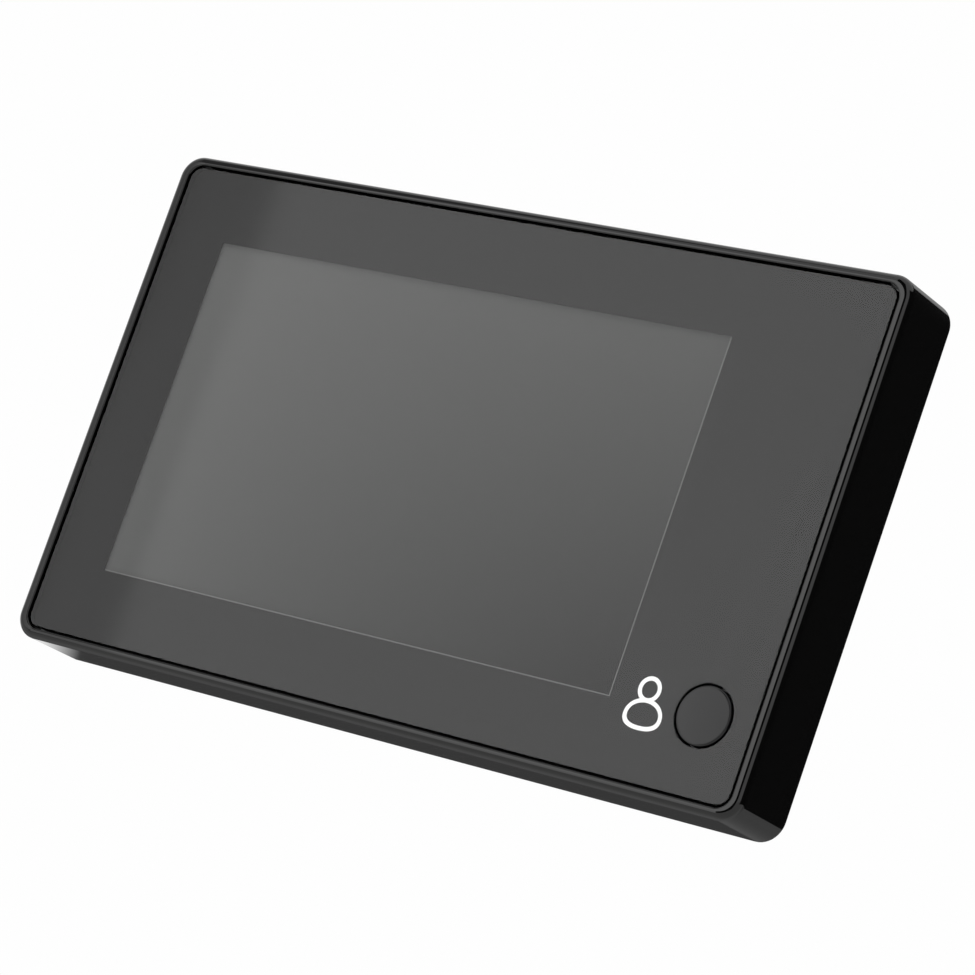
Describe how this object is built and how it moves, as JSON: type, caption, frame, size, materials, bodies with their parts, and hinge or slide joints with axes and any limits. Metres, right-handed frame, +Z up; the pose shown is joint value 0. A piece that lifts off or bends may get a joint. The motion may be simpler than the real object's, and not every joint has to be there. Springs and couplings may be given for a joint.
{
  "type": "peephole door camera monitor",
  "caption": "Flat glossy black indoor monitor of a peephole door camera, with a wide dark screen, a round view button and a sheet-steel door bracket behind it.",
  "frame": {"origin": "centre of the barrel bore in the door bracket, on the face that lies against the door", "axes": "+X to the right as the viewer sees the screen, +Y from the room into the door, +Z up"},
  "size_m": [0.134, 0.0131, 0.0796],
  "materials": {
    "front_housing": "glossy black moulded ABS",
    "rear_cover": "fine spark-eroded black ABS",
    "window": "clear acrylic with a hard coat",
    "mask": "black printed film",
    "tape": "black foam and adhesive tape",
    "button": "glossy black moulded ABS",
    "screen": "dark polarised glass, screen off",
    "lcd_steel": "pressed steel",
    "light_guide": "white light guide",
    "flex_cable": "amber polyimide",
    "white_nylon": "white nylon",
    "black_nylon": "black nylon",
    "board": "green solder mask",
    "chips": "black epoxy",
    "capacitors": "fired ceramic",
    "lamp": "clear polycarbonate",
    "battery": "laminated foil",
    "lead": "soft insulated wire",
    "speaker_steel": "pressed steel",
    "speaker_cone": "thin film",
    "port_steel": "plated steel",
    "card": "black moulded card",
    "bumper": "soft black rubber",
    "screws": "zinc plated",
    "bracket": "zinc-plated pressed sheet steel"
  },
  "bodies": {
    "bracket": {"door_bracket": "bracket"},
    "monitor": {"backlight": "light_guide", "battery_connector": "white_nylon", "battery_door": "rear_cover", "battery_door_screw": "screws", "battery_foam": "tape", "battery_leads": "lead", "battery_pack": "battery", "board_capacitors": "capacitors", "board_screws": "screws", "button_switch": "black_nylon", "card_socket": "port_steel", "charge_lamp": "lamp", "front_housing": "front_housing", "housing_screws": "screws", "lamp_pipe": "lamp", "lcd_cell": "screen", "lcd_connector": "white_nylon", "lcd_flex": "flex_cable", "lcd_tray": "lcd_steel", "main_board": "board", "mask_film": "mask", "memory_chips": "chips", "panel_tape": "tape", "power_coils": "chips", "power_switch_body": "port_steel", "processor_chip": "chips", "rear_bumpers": "bumper", "rear_cover": "rear_cover", "reset_switch": "black_nylon", "ribbon_socket": "white_nylon", "screen_foam": "tape", "speaker_cone": "speaker_cone", "speaker_frame": "speaker_steel", "speaker_gasket": "tape", "speaker_leads": "lead", "usb_shell": "port_steel", "usb_tongue": "black_nylon", "window_panel": "window"},
    "view_button": {"view_button": "button", "button_stem": "black_nylon"},
    "power_knob": {"power_switch_knob": "black_nylon"},
    "card": {"memory_card": "card"},
    "latch": {"ribbon_latch": "black_nylon"},
    "reset": {"reset_stem": "black_nylon"}
  },
  "joints": [
    {"name": "lift_off", "type": "slide", "parent": "bracket", "child": "monitor", "axis": [0, 0, 1], "range_m": [0, 0.008]},
    {"name": "view_press", "type": "slide", "parent": "monitor", "child": "view_button", "axis": [0, 1, 0], "range_m": [0, 0.0004], "stiffness_N_per_m": 2500, "springref_m": -0.0001},
    {"name": "power_slide", "type": "slide", "parent": "monitor", "child": "power_knob", "axis": [1, 0, 0], "range_m": [0, 0.002]},
    {"name": "card_slide", "type": "slide", "parent": "monitor", "child": "card", "axis": [0, 0, 1], "range_m": [0, 0.013]},
    {"name": "latch_flip", "type": "hinge", "parent": "monitor", "child": "latch", "pos_m": [0.0128, -0.00532, -0.02218], "axis": [-1, 0, 0], "range_deg": [0, 90]},
    {"name": "reset_press", "type": "slide", "parent": "monitor", "child": "reset", "axis": [0, -1, 0], "range_m": [0, 0.0003], "stiffness_N_per_m": 1500, "springref_m": -0.0001}
  ]
}
